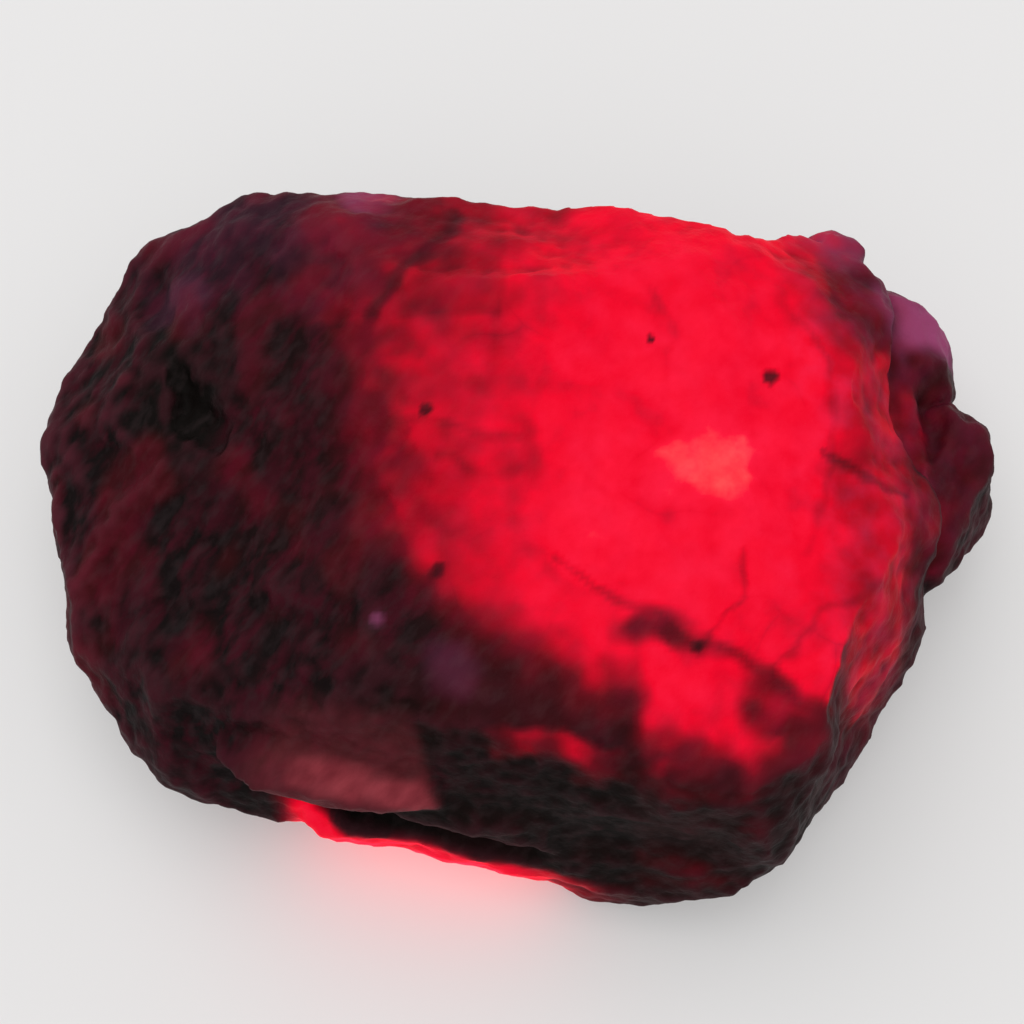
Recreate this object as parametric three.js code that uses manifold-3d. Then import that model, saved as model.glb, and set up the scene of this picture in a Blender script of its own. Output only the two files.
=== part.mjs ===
// A raw ruby crystal: one broken, worn piece of corundum that rests on its flat basal parting face.
// Millimetres, +Z up. +X runs along the stone's length, +Y away from its stepped front, and the origin is
// under the middle of the stone, on the surface that it rests on.
import * as THREE from "three";
import { ImprovedNoise } from "three/addons/math/ImprovedNoise.js";
import { mergeVertices } from "three/addons/utils/BufferGeometryUtils.js";
import Module from "manifold-3d";

// Driving dimensions, in millimetres.
const LENGTH = 45;
const WIDTH = 33;
const HEIGHT = 16.6;
const BLANK_TOP = 20; // the uncut blank, before its faces are broken off
const BLANK_BOTTOM = -2;
const OUTLINE_STEP = 1.6; // between the corners of the blank's side
const GRID = 2.0; // between the points that shape a broken face
const BREAKER_SIZE = 80; // of a block that cuts a face, larger than the blank

// Uneven surfaces: slow swells everywhere, ridges along a broken face's grain, and wear on the whole stone.
const SWELL = { size: 8.0, height: 0.9 };
const RIDGES = { across: 2.6, along: 9.0 };
const WEAR = { size: 3.3, height: 0.5 };

// Chips struck off the corners and edges. Each is up to depth deep, and at least a quarter of it.
const STONE_CHIPS = { count: 90, depth: 0.7, ridge: 0.3, seed: 3 };
const BLOCK_CHIPS = { count: 16, depth: 0.22 }; // on a rounded block of radius 1
const SHALLOWEST = 0.25;
const STRAY = 0.15; // how far a chip's direction strays, as a share of the golden angle
const GOLDEN_ANGLE = 180 * (3 - Math.sqrt(5));

// The widest section seen from above, anticlockwise from the right-hand end.
const OUTLINE = [
  [19.8, 1.0], [19.6, 5.0], [19.1, 9.5], [17.9, 13.2], [16.2, 14.9], [14.4, 15.4],
  [12.4, 14.2], [8.3, 14.6], [4.1, 15.7], [-3.5, 16.1], [-7.3, 18.3], [-14.4, 17.6],
  [-19.8, 19.4], [-23.5, 15.7], [-24.1, 9.4], [-23.7, 4.4], [-23.3, 0.0], [-22.8, -3.7],
  [-20.4, -7.2], [-18.4, -9.8], [-16.8, -12.9], [-14.3, -14.7], [-11.2, -12.4], [-9.3, -13.4],
  [-5.9, -13.8], [-2.1, -14.5], [1.9, -15.4], [5.4, -16.2], [8.5, -16.8], [11.9, -15.8],
  [16.6, -10.4], [19.9, -4.2],
];

// Broken faces: the way that each one faces (azimuth from +X and elevation, in degrees), a point on it, and
// how its ridges run and stand out.
const FACES = [
  { azimuth: -70, elevation: 86, through: [4, 0, 16.4], ridge: 0.15 }, // clear face on top
  { azimuth: 20, elevation: 74, through: [11, 2, 16.0], grain: 70 },
  { azimuth: 178, elevation: 64, through: [-7, 2, 16.0], grain: 50, ridge: 0.9 }, // long left slope
  { azimuth: 160, elevation: 50, through: [-19.8, 6.4, 11.4], grain: 50, ridge: 0.8 },
  { azimuth: 124, elevation: 58, through: [-15.2, 15.2, 13], grain: 50, ridge: 0.7 },
  { azimuth: -150, elevation: 48, through: [-17, -9.5, 10.0], grain: 50, ridge: 0.7 },
  { azimuth: 92, elevation: 56, through: [-2, 14.6, 14.2], ridge: 0.5 }, // back bevel
  { azimuth: 52, elevation: 52, through: [15, 13.2, 12.4], ridge: 0.4 },
  { azimuth: 2, elevation: 40, through: [18.6, 3, 12.5], grain: 90 }, // right bevel
  { azimuth: -29, elevation: 10, through: [17.9, -6, 7], ridge: 0.4 }, // straight break, front right
  { azimuth: -98, elevation: 14, through: [2, -13.4, 13], ridge: 0.5 }, // steep front break
  { azimuth: -112, elevation: 54, through: [-9, -11.5, 13.6], ridge: 0.3 },
  { azimuth: -103, elevation: 22, through: [-8, -12.9, 8.2], ridge: 0.3 }, // front, above the groove
  { azimuth: 180, elevation: -30, through: [-21.8, 0, 3.5], ridge: 0.4 }, // undercuts, from here on
  { azimuth: 130, elevation: -34, through: [-17, 15, 3], ridge: 0.4 },
  { azimuth: 80, elevation: -32, through: [0, 16.2, 3.5], ridge: 0.4 },
  { azimuth: 30, elevation: -38, through: [16, 10, 2.6], ridge: 0.4 },
  { azimuth: -30, elevation: -34, through: [17.5, -5.4, 2.6], ridge: 0.4 },
  { azimuth: -70, elevation: -26, through: [8, -16, 1.6], ridge: 0.4 },
  { azimuth: -110, elevation: -42, through: [-6, -13.6, 2.4], ridge: 0.4 },
  { azimuth: -150, elevation: -38, through: [-17, -10.4, 3.4], ridge: 0.4 },
];

// Smaller crystals grown on to the stone.
const LUMPS = [
  { at: [18.9, 10.4, 6.4], size: [3.0, 3.9, 4.4], turn: [0, 0, 20], seed: 5 },
  { at: [20.4, 3.2, 6.0], size: [3.0, 5.6, 4.8], turn: [0, 0, -14], seed: 6 },
  { at: [15.0, 14.0, 9.4], size: [2.1, 2.1, 2.9], turn: [0, 0, 0], seed: 7 },
  { at: [-8.4, -11.0, 9.8], size: [6.4, 2.7, 1.9], turn: [-14, 4, -8], seed: 8 }, // ledge on the front
];

// Hollows where flakes broke out.
const HOLLOWS = [
  { at: [-6.2, -15.9, 6.6], size: [10.4, 4.2, 1.5], turn: [6, 6, -8], seed: 11 }, // groove under the ledge
  { at: [18.9, 7.4, 11.4], size: [1.5, 5.5, 1.7], turn: [0, 0, 0], seed: 12 }, // between slab and lumps
  { at: [22.6, 7.8, 6.0], size: [1.3, 1.0, 5.0], turn: [0, 0, 0], seed: 13 },
  { at: [-16.6, 6.4, 15.6], size: [2.6, 5.4, 4.8], turn: [0, 0, 30], seed: 14 }, // gouge in the left slope
];

const degrees = THREE.MathUtils.degToRad;
const UP = new THREE.Vector3(0, 0, 1);

// Numbers from 0 to 1 that repeat from run to run.
function numbersFrom(seed) {
  let state = seed;
  return () => {
    state = (state * 1664525 + 1013904223) % 4294967296;
    return state / 4294967296;
  };
}

function facing(azimuth, elevation) {
  const level = Math.cos(degrees(elevation));
  return new THREE.Vector3(
    level * Math.cos(degrees(azimuth)),
    level * Math.sin(degrees(azimuth)),
    Math.sin(degrees(elevation)),
  );
}

const wasm = await Module();
wasm.setup();

// A three.js geometry as a solid, and back.
function solidOf(geometry) {
  const bare = geometry.clone();
  bare.deleteAttribute("normal");
  bare.deleteAttribute("uv");
  const merged = mergeVertices(bare, 1e-4);
  const mesh = new wasm.Mesh({
    numProp: 3,
    vertProperties: merged.attributes.position.array,
    triVerts: new Uint32Array(merged.index.array),
  });
  mesh.merge();
  return new wasm.Manifold(mesh);
}

function geometryOf(solid) {
  const mesh = solid.getMesh();
  return new THREE.BufferGeometry()
    .setAttribute("position", new THREE.BufferAttribute(new Float32Array(mesh.vertProperties), 3))
    .setIndex(new THREE.BufferAttribute(new Uint32Array(mesh.triVerts), 1));
}

// How far a solid reaches in a direction.
function reachOf(solid, direction) {
  const points = geometryOf(solid).attributes.position;
  const point = new THREE.Vector3();
  let reach = -Infinity;
  for (let i = 0; i < points.count; i++) {
    reach = Math.max(reach, point.fromBufferAttribute(points, i).dot(direction));
  }
  return reach;
}

const noise = new ImprovedNoise();

// Smooth waves in all three directions. Each direction reads another place in the noise.
function waves({ x, y, z }) {
  return new THREE.Vector3(noise.noise(x, y, z), noise.noise(y, z, x + 9), noise.noise(z, x, y + 17));
}

// A geometry bent by smooth waves, as a solid.
function bent(geometry, { size, height }) {
  const points = geometry.attributes.position;
  for (let i = 0; i < points.count; i++) {
    const at = new THREE.Vector3().fromBufferAttribute(points, i);
    at.addScaledVector(waves(at.clone().divideScalar(size)), height);
    points.setXYZ(i, at.x, at.y, at.z);
  }
  return solidOf(geometry);
}

// The wavy relief of a broken face. Each seed reads another place in the noise.
function relief(x, y, { grain = 0, ridge = 0.2 }, seed) {
  const along = x * Math.cos(degrees(grain)) + y * Math.sin(degrees(grain));
  const across = y * Math.cos(degrees(grain)) - x * Math.sin(degrees(grain));
  const swell = SWELL.height * noise.noise(x / SWELL.size, y / SWELL.size, 7.7 * seed);
  return swell + ridge * noise.noise(along / RIDGES.along, across / RIDGES.across, 3.1 * seed);
}

// A block that stands on z = 0, with its underside divided into square cells.
function blockOf(cells) {
  const block = new THREE.BoxGeometry(BREAKER_SIZE, BREAKER_SIZE, BREAKER_SIZE, cells, cells, 1);
  return block.translate(0, 0, BREAKER_SIZE / 2);
}

// The same block, whose underside follows a face's relief.
function wavyBlock(face, seed) {
  const block = blockOf(BREAKER_SIZE / GRID);
  const points = block.attributes.position;
  for (let i = 0; i < points.count; i++) {
    if (points.getZ(i) === 0) {
      points.setZ(i, relief(points.getX(i), points.getY(i), face, seed));
    }
  }
  return block;
}

// A solid without the part of it that lies further than distance along a normal. The block's underside is
// the face that this leaves.
function brokenAt(solid, normal, distance, block) {
  block.translate(0, 0, distance);
  block.applyQuaternion(new THREE.Quaternion().setFromUnitVectors(UP, normal));
  return solid.subtract(solidOf(block));
}

// Calls strike(normal, depth, i) for chips that are spread evenly all round.
function strikeChips({ count, depth, seed }, strike) {
  const next = numbersFrom(seed);
  for (let i = 0; i < count; i++) {
    const elevation = THREE.MathUtils.radToDeg(Math.asin(1 - (2 * i + 1) / count));
    const normal = facing(GOLDEN_ANGLE * (i + STRAY * next()), elevation);
    strike(normal, depth * THREE.MathUtils.lerp(SHALLOWEST, 1, next()), i);
  }
}

function blank() {
  const corners = OUTLINE.map(([x, y]) => new THREE.Vector3(x, y, 0));
  const line = new THREE.CatmullRomCurve3(corners, true, "centripetal");
  const count = Math.round(line.getLength() / OUTLINE_STEP);
  const points = line.getSpacedPoints(count).slice(0, -1).map(({ x, y }) => new THREE.Vector2(x, y));
  const depth = BLANK_TOP - BLANK_BOTTOM;
  const steps = Math.round(depth / GRID);
  const block = new THREE.ExtrudeGeometry(new THREE.Shape(points), { depth, steps, bevelEnabled: false });
  return bent(block.translate(0, 0, BLANK_BOTTOM), SWELL);
}

function brokenStone() {
  let stone = blank();
  FACES.forEach((face, seed) => {
    const normal = facing(face.azimuth, face.elevation);
    const distance = normal.dot(new THREE.Vector3(...face.through));
    stone = brokenAt(stone, normal, distance, wavyBlock(face, seed));
  });
  strikeChips(STONE_CHIPS, (normal, depth, i) => {
    const distance = reachOf(stone, normal) - depth;
    stone = brokenAt(stone, normal, distance, wavyBlock(STONE_CHIPS, STONE_CHIPS.seed + i));
  });
  return stone;
}

// A rounded block with a few flat breaks.
function block({ at, size, turn, seed }) {
  let solid = solidOf(new THREE.IcosahedronGeometry(1, 3));
  strikeChips({ ...BLOCK_CHIPS, seed }, (normal, depth) => {
    solid = brokenAt(solid, normal, reachOf(solid, normal) - depth, blockOf(1));
  });
  const geometry = geometryOf(solid).scale(...size);
  geometry.applyQuaternion(new THREE.Quaternion().setFromEuler(new THREE.Euler(...turn.map(degrees))));
  return solidOf(geometry.translate(...at));
}

// A solid brought to its driving dimensions, resting on z = 0 with the origin under its middle.
function sized(solid) {
  const geometry = geometryOf(solid);
  geometry.computeBoundingBox();
  const size = geometry.boundingBox.getSize(new THREE.Vector3());
  const middle = geometry.boundingBox.getCenter(new THREE.Vector3());
  geometry.translate(-middle.x, -middle.y, -geometry.boundingBox.min.z);
  return geometry.scale(LENGTH / size.x, WIDTH / size.y, HEIGHT / size.z);
}

let stone = brokenStone();
for (const lump of LUMPS) {
  stone = stone.add(block(lump));
}
for (const hollow of HOLLOWS) {
  stone = stone.subtract(block(hollow));
}
stone = brokenAt(bent(geometryOf(stone), WEAR), UP.clone().negate(), 0, blockOf(1));

const rubyCrystal = new THREE.Mesh(
  sized(stone),
  new THREE.MeshStandardMaterial({ color: 0x7a0f26, roughness: 0.45, metalness: 0 }),
);
rubyCrystal.name = "ruby_crystal";

const part = new THREE.Group();
part.add(rubyCrystal);
export default part;
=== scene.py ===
"""A raw ruby crystal on a pale sheet. The light from underneath that makes its clear part glow is painted
into the stone as emission.

Metres, in the CAD model's frame: +X along the stone, +Y to its back, +Z up, resting on z = 0.
Places on the stone and the sizes of its markings are worked out in millimetres.
"""
import math

import bmesh
import bpy
import numpy as np
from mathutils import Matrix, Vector, noise


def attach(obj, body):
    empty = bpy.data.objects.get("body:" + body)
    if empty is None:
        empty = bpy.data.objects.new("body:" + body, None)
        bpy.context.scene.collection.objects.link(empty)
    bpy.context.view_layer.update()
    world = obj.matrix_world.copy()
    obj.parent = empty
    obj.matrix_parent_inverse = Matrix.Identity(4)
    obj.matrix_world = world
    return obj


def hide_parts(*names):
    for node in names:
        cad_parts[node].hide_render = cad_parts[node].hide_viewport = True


MM = 0.001

# ---------------------------------------------------------------- surface sizes

CELL = 0.22 * MM  # of the fine surface mesh
SAME_PLACE = 0.0005 * MM  # how close the CAD mesh's vertices are when they are one corner
GRAIN = math.radians(50)  # the way that the ridges on the left-hand slope run

# Height and size of the surface's ridges and grit, in millimetres.
RIDGE_HEIGHT, RIDGE_SIZE = 0.15, 2.8
SMALL_RIDGE_HEIGHT, SMALL_RIDGE_SIZE = 0.08, 1.3
SLOPE_RIDGE_HEIGHT, SLOPE_RIDGE_LENGTH, SLOPE_RIDGE_WIDTH, SLOPE_RIDGE_DEPTH = 0.13, 4.0, 1.25, 3.0
GRIT_HEIGHT, GRIT_SIZE = 0.10, 0.6
RIDGE_LEVEL = 0.6  # of the ridges' own height, where the surface is neither raised nor lowered
CALMER_RIDGES, CALMER_GRIT = 0.7, 0.75  # how much of them the smooth clear face loses
FLAT_FOOT = 0.8  # height over which they fade out towards the underside

# Over how many steps between vertices the surface is evened out to find small crests, broad
# brows and the way it broadly faces, and how far a crest or a brow stands out, in millimetres.
CREST_STEPS, CREST_DEPTH = 12, 0.12
BROW_STEPS, BROW_DEPTH = 160, 0.9
BROAD_STEPS = 14

# ---------------------------------------------------------------- places on the stone

# Zones seen in plan: a middle and two radii, in millimetres.
CLEAR = ((8.0, 0.2), (13.5, 18.5))
HOT_SPOT = ((8.4, 0.4), (2.1, 1.6))
BRIGHT_DISC = ((3.5, -3.2), (2.4, 2.2))
BACK_CORNER = ((16.6, 10.2), (4.8, 5.2))
CLOUD_BEHIND_PATCH = ((5.6, -7.0), (1.9, 0.9))
CLOUD_BY_PATCH = ((10.7, -10.6), (1.7, 1.5))
GOUGE = ((-15.2, 4.8), (2.5, 4.4))
FRONT_TOP = ((-1.6, -10.4), (6.5, 3.0))

# Single lines seen in plan, in millimetres.
BLOCK_SIDE_X, BLOCK_FRONT_Y = -0.3, 6.5  # of the darker block at the back
PILLAR_X, PILLAR_HALF = 4.3, 1.3  # of the dark stone left of the lit patch
RIGHT_SIDE_X = 15.0  # from which light shows through the steep right-hand side
LEDGE_RIGHT_X = -3.1

# Edges seen in plan, as lines through corners in millimetres.
BLOCK_CRACK = [(-6.4, 7.3), (-2.8, 13.0)]
BRIM = [(-0.9, -11.6), (1.9, -11.7), (3.5, -12.6), (9.2, -12.6), (11.7, -11.7)]
LEDGE_EDGE = [(-9.4, -12.3), (-4.2, -13.2)]

# Sides that change along the stone: where, and the side's place there.
LEFT_SIDE = ([-7, -5.6, -3.9, -0.5, 6.8], [-2.9, -3.7, -5.1, -5.3, -6.5])  # x of the clear part's side at y
FRONT_SIDE = ([-4.9, -3.2, -1.5, 0.1, 1.8, 3.4], [-3.8, -7.0, -7.2, -7.9, -8.6, -10.0])  # its y at x
PATCH_END = ([5, 8, 11], [-11.0, -11.9, -12.6])  # y of the lit patch's front at x
LIP_TOP = ([-10, -7.5, -3, 4], [7.0, 5.5, 4.7, 4.4])  # z of the thin lower edge's top at x

# Dark cracks through the clear part: corners, half width, and how much light they take away.
CRACKS = [
    ([(4.8, -6.8), (6.9, -7.7), (8.0, -7.8), (13.2, -11.0)], 0.6, 0.38),
    ([(1.8, -4.1), (3.5, -5.5), (5.6, -6.4), (7.2, -7.7)], 0.35, 0.22),
    ([(13.0, 1.0), (15.1, 0.2), (17.0, -0.3)], 0.35, 0.35),
    ([(-5.0, 2.2), (-2.5, 1.9), (0.1, 1.2)], 0.4, 0.18),
    ([(-3.7, 0.3), (0.1, -0.1)], 0.4, 0.14),
    ([(8.0, -7.8), (9.2, -5.6), (9.8, -3.6)], 0.25, 0.2),
    ([(10.6, -9.4), (13.0, -6.6), (15.6, -4.6)], 0.25, 0.16),
    ([(5.4, 9.5), (6.8, 6.2), (6.4, 3.4)], 0.35, 0.10),
    ([(11.8, 9.0), (13.4, 5.2), (13.6, 1.0), (12.4, -3.4)], 0.4, 0.12),
]

# Dark specks in the clear part: x, y and radius.
SPECKS = [
    (11.0, 4.4, 0.26),
    (-3.9, 2.5, 0.2),
    (-3.4, -4.6, 0.3),
    (7.6, -7.9, 0.2),
    (5.9, 5.8, 0.14),
]

# Purple stone and painted light: x, y, radius, and how purple. The first is the crystal at the right-hand
# end; the purple along the thin back edges is partly painted light showing through them.
PURPLE = [
    (19.4, 9.9, 3.0, 1.0),
    (14.8, 13.2, 2.4, 0.5),
    (-6.8, 14.9, 1.5, 0.7),
    (-13.5, 13.5, 4.5, 0.07),
    (-15.5, 10.1, 1.8, 0.14),
    (-8.5, 12.0, 4.0, 0.08),
    (-5.9, -6.6, 0.35, 0.5),
    (-2.6, -8.7, 1.3, 0.14),
]

# ---------------------------------------------------------------- colours

NOTHING = (0, 0, 0, 1)
EVERYTHING = (1, 1, 1, 1)

# Light through the stone, from none to the brightest.
MOST_LIT = 1.2
GLOW = [
    (0.00, (0.0000, 0.0000, 0.0000, 1)),
    (0.12, (0.0060, 0.0000, 0.0004, 1)),
    (0.26, (0.0450, 0.0000, 0.0015, 1)),
    (0.42, (0.2000, 0.0000, 0.0040, 1)),
    (0.58, (0.4200, 0.0000, 0.0080, 1)),
    (0.72, (0.6600, 0.0000, 0.0120, 1)),
    (0.86, (0.7600, 0.0050, 0.0260, 1)),
    (1.00, (0.8000, 0.0700, 0.0700, 1)),
]
MILKY_GLOW = (0.006, 0.010, 0.034, 1)  # added to it in milky stone
LEAKING = (2.9, 3.6, 3.6, 1)  # times as bright where it leaks out

DARK_STONE = (0.0060, 0.0034, 0.0036, 1)
MAROON_STONE = (0.0600, 0.0036, 0.0115, 1)
DUST = (0.0260, 0.0170, 0.0185, 1)
# Black stone; in the gouge, the groove and low on the front it is painted shade.
BLACK_STONE_AND_SHADE = (0.0045, 0.0032, 0.0028, 1)
DUST_ON_BLACK = (0.0130, 0.0085, 0.0085, 1)
# Paler crests and brows: partly wear, partly painted sheen.
WORN_EDGE_AND_SHEEN = (0.0650, 0.0125, 0.0200, 1)
# Purple: partly the stone's own, partly painted light through thin back edges.
PURPLE_STONE_AND_EDGE_LIGHT = (0.3000, 0.0600, 0.1600, 1)
# The ledge: partly painted light through it, and its pink a painted sheen.
LEDGE_RED = (0.1500, 0.0120, 0.0200, 1)
LEDGE_PINK = (0.4600, 0.0700, 0.0900, 1)
CLEAR_STONE = (0.2300, 0.0015, 0.0110, 1)
MILKY_STONE = (0.2300, 0.0070, 0.0260, 1)

PAPER = (0.52, 0.515, 0.515, 1)
PAPER_GLOW = (1, 0.985, 0.98, 1)

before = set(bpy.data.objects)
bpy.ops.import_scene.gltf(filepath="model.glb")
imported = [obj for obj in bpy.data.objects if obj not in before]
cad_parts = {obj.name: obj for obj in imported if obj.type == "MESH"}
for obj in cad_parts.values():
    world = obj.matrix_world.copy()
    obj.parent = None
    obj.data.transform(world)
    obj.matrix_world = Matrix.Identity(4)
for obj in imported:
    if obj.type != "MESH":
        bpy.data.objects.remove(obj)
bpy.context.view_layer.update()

# ---------------------------------------------------------------- numbers over the surface


def noise_at(points, size, seed=0.0):
    """Smooth noise from about -1 to 1 at points in millimetres, with features of that size."""
    spots = (points / size + seed).tolist()
    return np.array([noise.noise(spot) for spot in spots])


def ridges_at(points, size, seed=0.0):
    """Noise whose high places are sharp ridges, of height 1."""
    return 1 - np.abs(noise_at(points, size, seed)) * 1.6


def rise(values, low, high):
    """0 below low, 1 above high, and smooth in between. high may be the lower one."""
    t = np.clip((values - low) / (high - low), 0, 1)
    return t * t * (3 - 2 * t)


def off_line(x, y, corners):
    """Distance in plan from a line through the corners."""
    best = np.full(len(x), np.inf)
    for (ax, ay), (bx, by) in zip(corners, corners[1:]):
        dx, dy = bx - ax, by - ay
        t = np.clip(((x - ax) * dx + (y - ay) * dy) / (dx * dx + dy * dy), 0, 1)
        best = np.minimum(best, np.hypot(x - ax - t * dx, y - ay - t * dy))
    return best


def off_zone(x, y, zone):
    """Distance in plan from a zone's middle, where 1 is on the ellipse with its radii."""
    (middle_x, middle_y), (radius_x, radius_y) = zone
    return np.hypot((x - middle_x) / radius_x, (y - middle_y) / radius_y)


def averaged(mesh, values, times):
    """Values evened out between neighbouring vertices."""
    ends = np.empty(len(mesh.edges) * 2, np.int32)
    mesh.edges.foreach_get("vertices", ends)
    a, b = ends.reshape(-1, 2).T
    count = len(values)
    shares = np.bincount(a, minlength=count) + np.bincount(b, minlength=count)
    for _ in range(times):
        columns = [
            np.bincount(a, column[b], count) + np.bincount(b, column[a], count)
            for column in values.T
        ]
        values = np.column_stack(columns) / shares[:, None]
    return values


def bulge(mesh, points, normals, times, scale):
    """How far each place stands above its surroundings, from -1 to 1."""
    return np.clip(((points - averaged(mesh, points, times)) * normals).sum(1) / scale, -1, 1)


# ---------------------------------------------------------------- surface


def fine_copy(node, name):
    """A copy of a CAD node's surface as an even, fine mesh."""
    mesh = node.data.copy()
    mesh.materials.clear()
    copy = bpy.data.objects.new(name, mesh)
    bpy.context.scene.collection.objects.link(copy)
    weld = bmesh.new()
    weld.from_mesh(mesh)
    bmesh.ops.remove_doubles(weld, verts=weld.verts, dist=SAME_PLACE)
    weld.to_mesh(mesh)
    weld.free()
    remesh = copy.modifiers.new("even", "REMESH")
    remesh.mode = "VOXEL"
    remesh.voxel_size = CELL
    remesh.use_smooth_shade = True
    smooth = copy.modifiers.new("soft", "SMOOTH")
    smooth.factor = 0.5
    smooth.iterations = 5
    graph = bpy.context.evaluated_depsgraph_get()
    fine = bpy.data.meshes.new_from_object(copy.evaluated_get(graph))
    copy.modifiers.clear()
    copy.data = fine
    return copy


def places(mesh):
    """Each vertex's place in millimetres, and the way that the surface faces there."""
    shape = (len(mesh.vertices), 3)
    points = np.empty(shape, np.float32)
    mesh.vertices.foreach_get("co", points.ravel())
    normals = np.empty(shape, np.float32)
    mesh.vertex_normals.foreach_get("vector", normals.ravel())
    return points.astype(float) / MM, normals.astype(float)


def roughen(mesh):
    """Raises ridges and grain on the surface, but not on its flat underside."""
    points, normals = places(mesh)
    x, y, z = points.T
    facing_up = normals[:, 2]
    # The clear face on top is smooth. The left-hand slope is drawn out in slanting ridges.
    clear = rise(x, -9, -3) * rise(facing_up, 0.75, 0.93)
    slope = rise(x, -3, -9) * rise(facing_up, 0.1, 0.5)
    along = x * math.cos(GRAIN) + y * math.sin(GRAIN)
    across = y * math.cos(GRAIN) - x * math.sin(GRAIN)
    bend = 0.8 * noise_at(points, 4.0, seed=3.3)
    drawn_out = np.column_stack([
        along / SLOPE_RIDGE_LENGTH,
        (across + bend) / SLOPE_RIDGE_WIDTH,
        z / SLOPE_RIDGE_DEPTH,
    ])

    height = RIDGE_HEIGHT * (ridges_at(points, RIDGE_SIZE, seed=5.1) - RIDGE_LEVEL)
    height += SMALL_RIDGE_HEIGHT * (ridges_at(points, SMALL_RIDGE_SIZE, seed=9.4) - RIDGE_LEVEL)
    height *= 1 - CALMER_RIDGES * clear
    height += SLOPE_RIDGE_HEIGHT * slope * (ridges_at(drawn_out, 1.0, seed=2.2) - RIDGE_LEVEL)
    height += GRIT_HEIGHT * noise_at(points, GRIT_SIZE, seed=1.7) * (1 - CALMER_GRIT * clear)
    height *= rise(z, 0.0, FLAT_FOOT)
    moved = points + normals * height[:, None]
    moved[:, 2] = np.maximum(moved[:, 2], 0)
    mesh.vertices.foreach_set("co", (moved * MM).astype(np.float32).ravel())
    mesh.update()


stone = fine_copy(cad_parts["ruby_crystal"], "ruby_stone")
mesh = stone.data
roughen(mesh)

points, normals = places(mesh)
x, y, z = points.T
facing_up = normals[:, 2]
crest = bulge(mesh, points, normals, CREST_STEPS, CREST_DEPTH)
brow = bulge(mesh, points, normals, BROW_STEPS, BROW_DEPTH)
broadly_up = averaged(mesh, normals, BROAD_STEPS)[:, 2]

# The plan bent a little, so that what follows it has no straight edges.
u = x + 0.5 * noise_at(points, 2.6, seed=11.0) + 0.3 * noise_at(points, 1.0, seed=31.0)
v = y + 0.5 * noise_at(points, 2.6, seed=17.0) + 0.3 * noise_at(points, 1.0, seed=37.0)

# ---------------------------------------------------------------- light inside the stone


def clear_part():
    """Brightest over the light, and fading towards the clear part's sides."""
    level = 0.98 - 0.36 * off_zone(u, v, CLEAR) ** 2
    level += 0.06 * rise(off_zone(u, v, BRIGHT_DISC), 1.06, 0.94)
    left_side = np.interp(v, *LEFT_SIDE)
    level *= 0.06 + 0.94 * rise(u, left_side - 3.2, left_side + 1.7)
    level *= 1 - 0.12 * rise(u - 0.1 * v, 1.2, 0.5)
    front_side = np.interp(u, *FRONT_SIDE)
    level *= 1 - 0.9 * rise(v, front_side + 1.9, front_side - 1.7) * rise(u, 5.6, 4.4)
    level *= 1 - 0.56 * rise(u, 12.0, 17.6)
    level *= 1 - 0.50 * rise(u, 17.6, 20.0)
    level *= 1 - 0.48 * rise(off_zone(u, v, BACK_CORNER), 1.1, 0.35)
    return level


def with_back_block(level):
    """A darker block of stone at the back, left of the clear part, with a crack across it."""
    edge = x + 0.2 * noise_at(points, 0.8, seed=43.0)
    block = rise(edge, BLOCK_SIDE_X, BLOCK_SIDE_X - 0.5)
    block *= rise(y + 0.08 * edge, BLOCK_FRONT_Y, BLOCK_FRONT_Y + 0.4)
    block_level = 0.31 + 0.18 * rise(u - 0.5 * (v - 10), -6.5, -1.5)
    block_level *= 1 - 0.5 * rise(off_line(u, v, BLOCK_CRACK), 0.6, 0.1)
    return level * (1 - block) + block_level * block * rise(u, -11, -7)


def with_dark_front(level):
    """Clouds round the lit patch in front, a pillar beside it, and dark front corners."""
    level *= 1 - 0.25 * rise(np.abs(u - PILLAR_X), PILLAR_HALF, 0.4) * rise(v, -7.6, -8.8)
    level *= 1 - 0.45 * rise(off_zone(u, v, CLOUD_BEHIND_PATCH), 1.2, 0.4)
    level *= 1 - 0.50 * rise(off_zone(u, v, CLOUD_BY_PATCH), 1.2, 0.5)
    patch_end = np.interp(u, *PATCH_END)
    level *= 1 - 0.75 * rise(v, patch_end + 0.3, patch_end - 1.3)
    level *= 1 - 0.65 * rise(v - 0.6 * (u - 10.8), -10.6, -12.2) * rise(u, 9.6, 11.2)
    return level


def with_steep_sides(level, lip):
    """Little shows through the steep sides, apart from the right-hand one and two edges in front."""
    open_top = 0.3 * facing_up + 0.7 * broadly_up
    open_top += 0.2 * noise_at(points, 2.2, seed=51.0) + 0.15 * rise(y, 8, 11)
    level *= 0.14 + 0.86 * rise(open_top, 0.30, 0.65)
    right_side = rise(x, RIGHT_SIDE_X - 2.5, RIGHT_SIDE_X) * rise(x, 18.2, 16.6)
    right_side *= rise(v, -11.5, -8.5) * rise(v, 8.5, 5.5)
    level = np.maximum(level, 0.56 * right_side * rise(z, 2.0, 11.5))
    brim = rise(off_line(u, v, BRIM), 0.9, 0.2) * rise(z, 11.0, 12.6)
    level = np.maximum(level, (0.26 + 0.45 * noise_at(points, 1.5, seed=53.0)) * brim)
    return np.maximum(level, 0.95 * lip)


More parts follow.
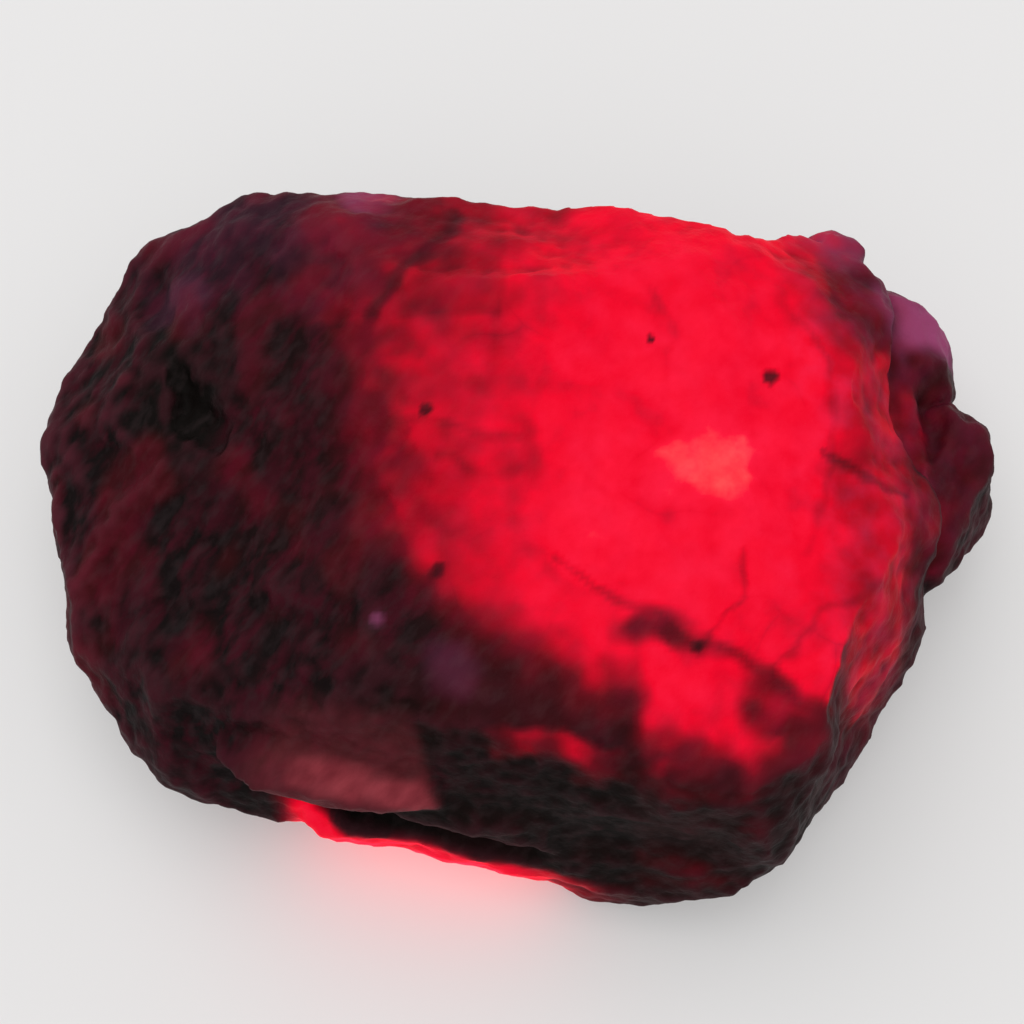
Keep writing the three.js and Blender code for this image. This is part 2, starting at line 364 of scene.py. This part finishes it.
def with_markings(level):
    """Cracks, mottling, faint blotches in the dark stone, the hot spot, and specks."""
    for corners, half_width, share in CRACKS:
        level *= 1 - share * rise(off_line(u, v, corners), half_width, 0.1 * half_width)
    soft = np.clip(level, 0, 1)
    mottle = 0.34 * noise_at(points, 2.1, seed=3.0) + 0.28 * noise_at(points, 0.9, seed=23.0)
    level += mottle * soft * (1.1 - soft) * 1.7
    blotch = rise(noise_at(points, 2.6, seed=41.0), 0.0, 0.45) * rise(level, 0.3, 0.1)
    blotch *= rise(facing_up, -0.2, 0.3) * rise(x, 17, 15) * rise(y, -9.0, -6.5)
    level += 0.12 * blotch
    level += 0.18 * rise(off_zone(u, v, HOT_SPOT), 1.3, 0.7)
    # Dimmer in small hollows: painted shade in the glow.
    level *= 1 - 0.35 * np.clip(-crest, 0, 1)
    level = np.clip(level, 0, MOST_LIT)
    wobble = 0.3 * noise_at(points, 0.5, seed=7.0)
    for speck_x, speck_y, radius in SPECKS:
        gap = np.hypot(x - speck_x, y - speck_y) + wobble
        level *= 1 - 0.75 * rise(gap, radius * 1.7, radius * 0.4)
    return level


# The thin lower edge in front, under the groove.
lip_top = np.interp(x, *LIP_TOP)
lip = rise(z, lip_top + 0.4, lip_top - 0.4) * rise(y, -11.0, -12.0)
lip *= rise(x, -11.2, -9.4) * rise(x, 6.5, -2.0)

# How brightly the light from below shows through, painted into the stone as its glow: 0 is dark stone, 1
# the brightest red.
lit = with_markings(with_steep_sides(with_dark_front(with_back_block(clear_part())), lip))

# Where the light leaks out between the stone and the sheet, at the front left.
leak = rise(facing_up, 0.1, -0.2) * rise(x, -12, -9) * rise(x, 8, 2) * rise(y, -8, -11)
leak *= rise(z, 6.0, 4.5)

# ---------------------------------------------------------------- kinds of stone, with painted light and shade


def purple_stone_and_edge_light():
    purple = np.zeros(len(x))
    wobble = 0.45 * noise_at(points, 1.4, seed=61.0)
    for middle_x, middle_y, radius, share in PURPLE:
        gap = np.hypot(x - middle_x, y - middle_y) / radius + wobble
        purple = np.maximum(purple, share * rise(gap, 1.3, 0.2))
    # Of the two crystals at the right-hand end, only the one at the back is purple.
    purple *= 1 - rise(x, 17.6, 18.4) * rise(y, 8.6, 7.6)
    # The other patches are near the top.
    return purple * (1 - rise(x, 17, 15) * rise(z, 8, 3))


def ledge_tint_and_sheen():
    """A broken ledge on the front left, paler along its front edge, where its red and pink are partly
    painted light through it and a painted sheen on its flat face.
    """
    from_edge = off_line(x, y, LEDGE_EDGE) + 0.35 * noise_at(points, 1.2, seed=71.0)
    ragged_x = x + 0.6 * noise_at(points, 1.0, seed=73.0)
    ledge = 0.55 * rise(from_edge, 0.95, 0.3) * rise(ragged_x, -10.6, -8.0)
    ledge += 0.24 * rise(from_edge, 3.4, 0.9)
    return ledge * rise(z, 8.6, 9.6) * rise(x + 0.4 * (y + 13), LEDGE_RIGHT_X, LEDGE_RIGHT_X - 0.8)


def black_stone_and_shade():
    """In and round the gouge, in the groove, low on the front, and above that. In the gouge, the groove and
    low on the front the black is painted shade.
    """
    gouge = rise(off_zone(x, y, GOUGE) + 0.3 * noise_at(points, 1.6, seed=81.0), 1.3, 0.5)
    low_front = rise(y + 0.8 * noise_at(points, 1.4, seed=83.0), -11.8, -13.2)
    low_front *= rise(x, -5, -3.5) * rise(x, 15, 12)
    groove = rise(y, -11.5, -12.5) * rise(x, -14, -12) * rise(z, 9.6, 8.6) * (1 - lip)
    front_top = rise(off_zone(x, y, FRONT_TOP) + 0.3 * noise_at(points, 1.6, seed=85.0), 1.2, 0.5)
    return np.maximum.reduce([gouge, low_front, groove, 0.8 * front_top])


# Milkier, pinker stone towards the right-hand end.
milk = 0.25 + 0.75 * rise(x + 1.5 * noise_at(points, 3.0, seed=91.0), 11, 15)

# Crests and brows paler, most of all at the left-hand end: partly rubbed wear, partly a painted sheen on
# them.
wear_and_sheen = np.clip(crest * 0.7 + brow * 0.5, 0, 1) * (0.4 + 0.6 * rise(x, -15, -20))

# One number for each vertex, for the material to read.
for name, values in {
    "lit": lit,
    "leak": leak,
    "purple": purple_stone_and_edge_light(),
    "ledge": ledge_tint_and_sheen(),
    "black": black_stone_and_shade(),
    "milk": milk,
    "wear_and_sheen": wear_and_sheen,
}.items():
    layer = mesh.attributes.new(name, "FLOAT", "POINT")
    layer.data.foreach_set("value", values.astype(np.float32))

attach(stone, "root")
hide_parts("ruby_crystal")

# ---------------------------------------------------------------- ruby


class Nodes:
    """Short ways to add shader nodes to one material."""

    def __init__(self, material):
        self.tree = material.node_tree

    def add(self, kind, **settings):
        node = self.tree.nodes.new(kind)
        for name, value in settings.items():
            setattr(node, name, value)
        return node

    def join(self, start, end):
        self.tree.links.new(start, end)

    def fill(self, socket, value):
        """Joins a socket to an output, or gives it a constant."""
        if hasattr(value, "links"):
            self.join(value, socket)
        else:
            socket.default_value = value

    def attribute(self, name):
        return self.add("ShaderNodeAttribute", attribute_name=name).outputs["Fac"]

    def maths(self, operation, *values):
        node = self.add("ShaderNodeMath", operation=operation)
        for socket, value in zip(node.inputs, values):
            self.fill(socket, value)
        return node.outputs[0]

    def mix(self, share, first, second, blend="MIX"):
        node = self.add("ShaderNodeMix", data_type="RGBA", blend_type=blend)
        self.fill(node.inputs["Factor"], share)
        self.fill(node.inputs["A"], first)
        self.fill(node.inputs["B"], second)
        return node.outputs["Result"]

    def noise(self, size_mm, detail=3.0, drawn_out=1.0):
        """Noise with features of that size, which may be drawn out along the stone's grain."""
        where = self.add("ShaderNodeTexCoord").outputs["Object"]
        place = self.add("ShaderNodeMapping", vector_type="TEXTURE")
        self.join(where, place.inputs["Vector"])
        place.inputs["Rotation"].default_value = (0, 0, GRAIN)
        place.inputs["Scale"].default_value = [size_mm * MM * share for share in (drawn_out, 1, 1)]
        node = self.add("ShaderNodeTexNoise")
        node.inputs["Scale"].default_value = 1
        node.inputs["Detail"].default_value = detail
        self.join(place.outputs["Vector"], node.inputs["Vector"])
        return node.outputs["Fac"]

    def veins(self, size_mm):
        """Distance from thin, bent lines that divide the stone into cells of that size."""
        where = self.add("ShaderNodeTexCoord").outputs["Object"]
        shifts = self.add("ShaderNodeTexNoise")
        shifts.inputs["Scale"].default_value = 0.5 / (size_mm * MM)
        self.join(where, shifts.inputs["Vector"])
        bent = self.add("ShaderNodeVectorMath", operation="MULTIPLY_ADD")
        self.join(shifts.outputs["Color"], bent.inputs[0])
        bent.inputs[1].default_value = [1.4 * size_mm * MM] * 3
        self.join(where, bent.inputs[2])
        cells = self.add("ShaderNodeTexVoronoi", feature="DISTANCE_TO_EDGE")
        cells.inputs["Scale"].default_value = 1 / (size_mm * MM)
        self.join(bent.outputs["Vector"], cells.inputs["Vector"])
        return cells.outputs["Distance"]

    def ramp(self, value, stops):
        """Colours for a value from 0 to 1, given as (place, colour) stops."""
        node = self.add("ShaderNodeValToRGB")
        self.join(value, node.inputs["Fac"])
        elements = node.color_ramp.elements
        elements[0].position, elements[0].color = stops[0]
        elements[1].position, elements[1].color = stops[-1]
        for place, colour in stops[1:-1]:
            elements.new(place).color = colour
        return node.outputs["Color"]

    def step(self, value, low, high):
        """0 below low and 1 above high."""
        return self.ramp(value, [(low, NOTHING), (high, EVERYTHING)])


def glow_of(n, fine, milky):
    """The light that shows through, with faint veins across it."""
    level = n.maths("MULTIPLY", n.attribute("lit"), n.maths("MULTIPLY_ADD", fine, 0.16, 0.92))
    line = n.ramp(n.veins(4.6), [(0.0, EVERYTHING), (0.02, (0.5, 0.5, 0.5, 1)), (0.07, NOTHING)])
    shade = n.ramp(n.noise(5.0, 1), [(0.5, NOTHING), (0.7, (0.16, 0.16, 0.16, 1))])
    vein = n.maths("MULTIPLY", line, shade)
    level = n.maths("MULTIPLY", level, n.maths("MULTIPLY_ADD", vein, -1, 1))
    glow = n.ramp(n.maths("DIVIDE", level, MOST_LIT), GLOW)
    pinker = n.mix(1.0, glow, MILKY_GLOW, "ADD")
    glow = n.mix(n.maths("MULTIPLY", milky, n.attribute("lit")), glow, pinker)
    brighter = n.mix(n.attribute("leak"), EVERYTHING, LEAKING)
    return n.mix(1.0, glow, brighter, "MULTIPLY")


def body_of(n, milky):
    """The stone's colour: dark, black, worn, purple, pale or clear, with painted shade in the black, and
    painted sheen and light in the worn, the purple and the pale ledge.
    """
    patchy = n.step(n.noise(1.0, 6, 2.2), 0.42, 0.60)
    dusty = n.step(n.noise(0.6, 6, 2.0), 0.48, 0.66)
    colour = n.mix(n.maths("MULTIPLY", n.noise(2.4), patchy), DARK_STONE, MAROON_STONE)
    colour = n.mix(n.maths("MULTIPLY", dusty, 0.40), colour, DUST)
    # Black: partly painted shade in the gouge, the groove and low on the front.
    colour = n.mix(n.attribute("black"), colour, n.mix(dusty, BLACK_STONE_AND_SHADE, DUST_ON_BLACK))
    # Crests paler: partly wear, partly painted sheen.
    colour = n.mix(n.attribute("wear_and_sheen"), colour, WORN_EDGE_AND_SHEEN)
    # Purple: partly painted light through thin back edges.
    colour = n.mix(n.attribute("purple"), colour, PURPLE_STONE_AND_EDGE_LIGHT)
    # Ledge red and pink: partly painted light and painted sheen.
    ledge_colour_and_sheen = n.mix(n.noise(0.7, 5, 3.0), LEDGE_RED, LEDGE_PINK)
    colour = n.mix(n.attribute("ledge"), colour, ledge_colour_and_sheen)
    clear = n.maths("MULTIPLY", n.attribute("lit"), 1.2)
    return n.mix(clear, colour, n.mix(milky, CLEAR_STONE, MILKY_STONE))


def ruby_material():
    ruby = bpy.data.materials.new("ruby")
    ruby.use_nodes = True
    n = Nodes(ruby)
    shader = ruby.node_tree.nodes["Principled BSDF"]
    fine = n.noise(0.5)
    milky = n.maths("MULTIPLY", n.step(n.noise(1.6, 5), 0.4, 0.75), n.attribute("milk"))
    n.join(glow_of(n, fine, milky), shader.inputs["Emission Color"])
    shader.inputs["Emission Strength"].default_value = 1.0
    n.join(body_of(n, milky), shader.inputs["Base Color"])
    shader.inputs["Specular IOR Level"].default_value = 0.03
    n.join(n.maths("MULTIPLY_ADD", fine, 0.3, 0.35), shader.inputs["Roughness"])
    bump = n.add("ShaderNodeBump")
    bump.inputs["Strength"].default_value = 0.7
    bump.inputs["Distance"].default_value = 0.1 * MM
    n.join(n.noise(0.35, 5), bump.inputs["Height"])
    n.join(bump.outputs["Normal"], shader.inputs["Normal"])
    return ruby


stone.data.materials.append(ruby_material())

# ---------------------------------------------------------------- stage

SHEET_SIDE = 2.4
PAPER_GLOW_STRENGTH = 0.28
SOFTBOX_PLACE = (-0.08, 0.16, 0.5)
SOFTBOX_SIZE = 0.5
SOFTBOX_POWER = 1.2
ROOM_LIGHT = 0.7


def paper_material():
    paper = bpy.data.materials.new("paper")
    paper.use_nodes = True
    sockets = paper.node_tree.nodes["Principled BSDF"].inputs
    sockets["Base Color"].default_value = PAPER
    sockets["Roughness"].default_value = 0.9
    sockets["Emission Color"].default_value = PAPER_GLOW
    sockets["Emission Strength"].default_value = PAPER_GLOW_STRENGTH
    return paper


def sheet():
    half = SHEET_SIDE / 2
    corners = [(-half, -half, 0), (half, -half, 0), (half, half, 0), (-half, half, 0)]
    flat = bpy.data.meshes.new("sheet")
    flat.from_pydata(corners, [], [(0, 1, 2, 3)])
    flat.materials.append(paper_material())
    thing = bpy.data.objects.new("sheet", flat)
    bpy.context.scene.collection.objects.link(thing)
    return thing


def facing(thing, direction):
    """Turns a lamp or a camera so that its back is towards the direction."""
    thing.rotation_mode = "QUATERNION"
    thing.rotation_quaternion = direction.to_track_quat("Z", "Y")


floor = sheet()

lamp = bpy.data.lights.new("softbox", "AREA")
lamp.size = SOFTBOX_SIZE
lamp.energy = SOFTBOX_POWER
softbox = bpy.data.objects.new("softbox", lamp)
bpy.context.scene.collection.objects.link(softbox)
softbox.location = SOFTBOX_PLACE
facing(softbox, Vector(SOFTBOX_PLACE))

world = bpy.data.worlds.new("room")
world.use_nodes = True
world.node_tree.nodes["Background"].inputs["Color"].default_value = (1, 1, 1, 1)
world.node_tree.nodes["Background"].inputs["Strength"].default_value = ROOM_LIGHT
bpy.context.scene.world = world
bpy.context.scene.view_settings.view_transform = "Standard"

# ---------------------------------------------------------------- camera

ELEVATION = math.radians(70)
LENS = 80
SENSOR = 36
WIDE = 46.9 * MM  # of the picture, at the stone
AIM_HEIGHT = 8 * MM
AIM_LEFT = 0.2 * MM
AIM_UP = 0.6 * MM

camera_data = bpy.data.cameras.new("camera")
camera_data.lens = LENS
camera_data.sensor_width = SENSOR
camera_data.clip_start = 0.005
camera = bpy.data.objects.new("camera", camera_data)
bpy.context.scene.collection.objects.link(camera)
back = Vector((0, -math.cos(ELEVATION), math.sin(ELEVATION)))
right = Vector((1, 0, 0))
aim = Vector((0, 0, AIM_HEIGHT)) - right * AIM_LEFT + back.cross(right) * AIM_UP
camera.location = aim + back * (WIDE * LENS / SENSOR)
facing(camera, back)
bpy.context.scene.camera = camera
